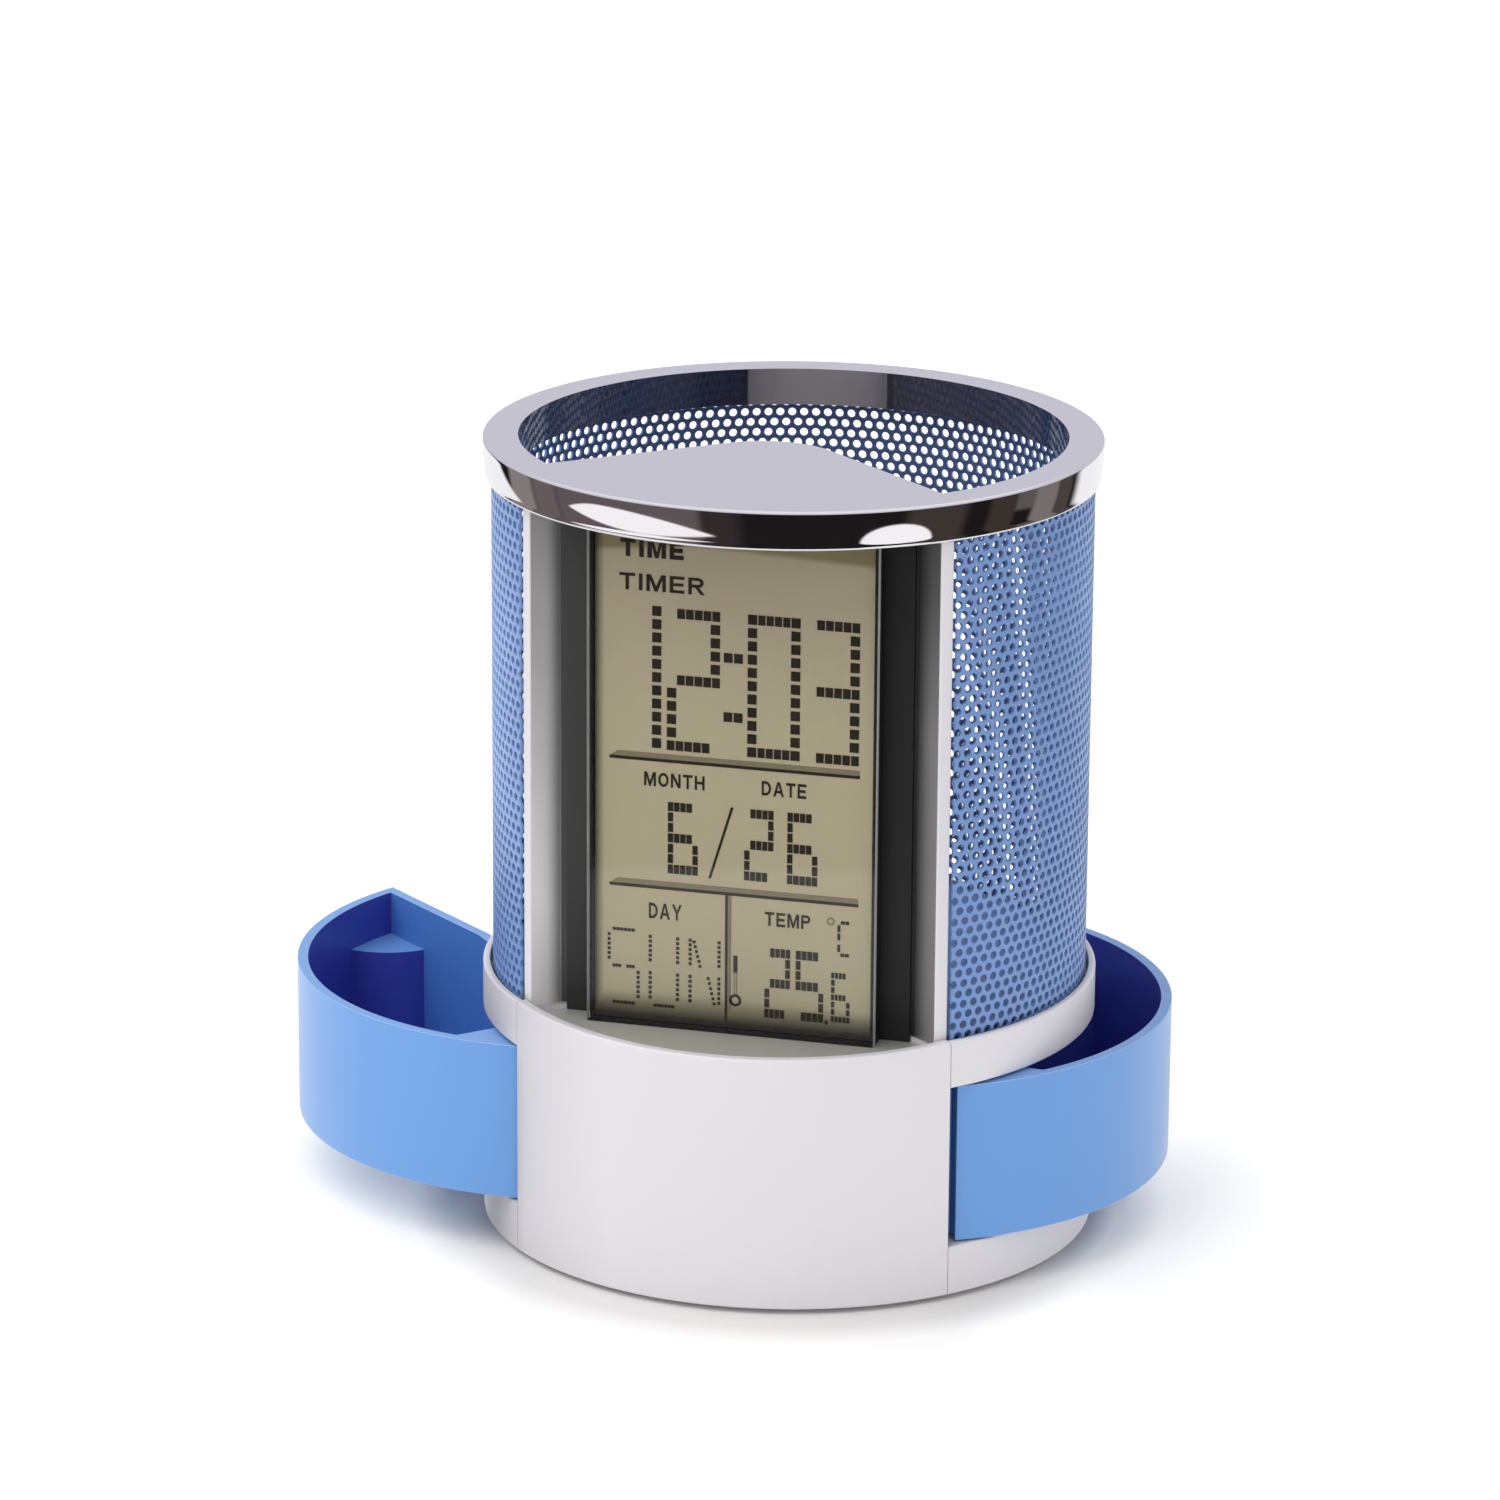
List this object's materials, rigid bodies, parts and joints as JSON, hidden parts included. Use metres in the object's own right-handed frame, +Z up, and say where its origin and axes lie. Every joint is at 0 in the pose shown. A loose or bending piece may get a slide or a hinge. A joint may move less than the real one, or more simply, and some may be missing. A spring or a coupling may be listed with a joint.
{
  "type": "pen holder clock",
  "caption": "Round desk pen cup of perforated metal with an upright LCD clock in its front, a plated top ring and a base with swing-out drawers.",
  "frame": {"origin": "centre of the round base's underside, at the height of the feet's lower faces", "axes": "+Z up, the clock's display faces -Y, +X to the right as seen from the front"},
  "size_m": [0.1261, 0.0898, 0.1115],
  "materials": {
    "silver_abs": "ABS sprayed a satin light silver",
    "blue_abs": "cornflower blue ABS with a soft gloss",
    "blue_mesh": "perforated steel sheet with blue powder coat",
    "chrome_ring": "bright chrome plate on ABS",
    "black_abs": "black moulded plastic",
    "rubber_foot": "matt black rubber",
    "silicone": "grey silicone rubber",
    "clear_lens": "clear acrylic window",
    "lcd": "reflective LCD, khaki green",
    "foil": "reflector foil",
    "circuit_board": "green solder mask",
    "steel": "zinc-plated steel",
    "contact": "nickel-plated spring brass",
    "ribbon": "grey flat cable"
  },
  "bodies": {
    "base": {"base_tray": "silver_abs", "base_frame": "silver_abs", "base_deck": "silver_abs", "front_panel": "silver_abs", "bottom_cover": "silver_abs", "clock_front_frame": "silver_abs", "clock_rear_cover": "silver_abs", "mesh_cup": "blue_mesh", "cup_floor": "blue_mesh", "top_ring": "chrome_ring", "display_lens": "clear_lens", "lcd_bezel": "black_abs", "lcd_glass": "lcd", "lcd_reflector": "foil", "zebra_strip_lower": "silicone", "zebra_strip_upper": "silicone", "main_board": "circuit_board", "driver_chip": "black_abs", "buzzer": "black_abs", "temperature_sensor": "black_abs", "timing_crystal": "steel", "ribbon_cable": "ribbon", "button_board": "circuit_board", "rubber_keypad": "silicone", "coin_cell": "steel", "battery_contact_negative": "contact", "battery_contact_positive": "contact", "left_pivot_pin": "steel", "right_pivot_pin": "steel", "foot_front_left": "rubber_foot", "foot_front_right": "rubber_foot", "foot_rear_left": "rubber_foot", "foot_rear_right": "rubber_foot", "base_screw_front_left": "steel", "base_screw_front_right": "steel", "base_screw_rear": "steel", "cover_screw_left": "steel", "cover_screw_right": "steel", "cover_screw_rear": "steel", "housing_screw_left": "steel", "housing_screw_right": "steel", "board_screw_upper_left": "steel", "board_screw_upper_right": "steel", "board_screw_lower_left": "steel", "board_screw_lower_right": "steel"},
    "left_drawer": {"left_drawer": "blue_abs"},
    "right_drawer": {"right_drawer": "blue_abs"},
    "battery_door": {"battery_door": "silver_abs"},
    "mode_button": {"mode_button": "black_abs"},
    "set_button": {"set_button": "black_abs"},
    "up_button": {"up_button": "black_abs"},
    "down_button": {"down_button": "black_abs"}
  },
  "joints": [
    {"name": "left_drawer_hinge", "type": "hinge", "parent": "base", "child": "left_drawer", "pos_m": [-0.02742, -0.02142, 0.019], "axis": [0, 0, 1], "range_deg": [-60.5, 1.5]},
    {"name": "right_drawer_hinge", "type": "hinge", "parent": "base", "child": "right_drawer", "pos_m": [0.02742, -0.02142, 0.019], "axis": [0, 0, -1], "range_deg": [-21.7, 40.3]},
    {"name": "battery_door_turn", "type": "hinge", "parent": "base", "child": "battery_door", "pos_m": [0, -0.014, 0.002], "axis": [0, 0, 1], "range_deg": [0, 45]},
    {"name": "mode_button_press", "type": "slide", "parent": "base", "child": "mode_button", "axis": [0, 0, 1], "range_m": [0, 0.0005], "stiffness_N_per_m": 400, "springref_m": -0.001},
    {"name": "set_button_press", "type": "slide", "parent": "base", "child": "set_button", "axis": [0, 0, 1], "range_m": [0, 0.0005], "stiffness_N_per_m": 400, "springref_m": -0.001},
    {"name": "up_button_press", "type": "slide", "parent": "base", "child": "up_button", "axis": [0, 0, 1], "range_m": [0, 0.0005], "stiffness_N_per_m": 400, "springref_m": -0.001},
    {"name": "down_button_press", "type": "slide", "parent": "base", "child": "down_button", "axis": [0, 0, 1], "range_m": [0, 0.0005], "stiffness_N_per_m": 400, "springref_m": -0.001}
  ]
}
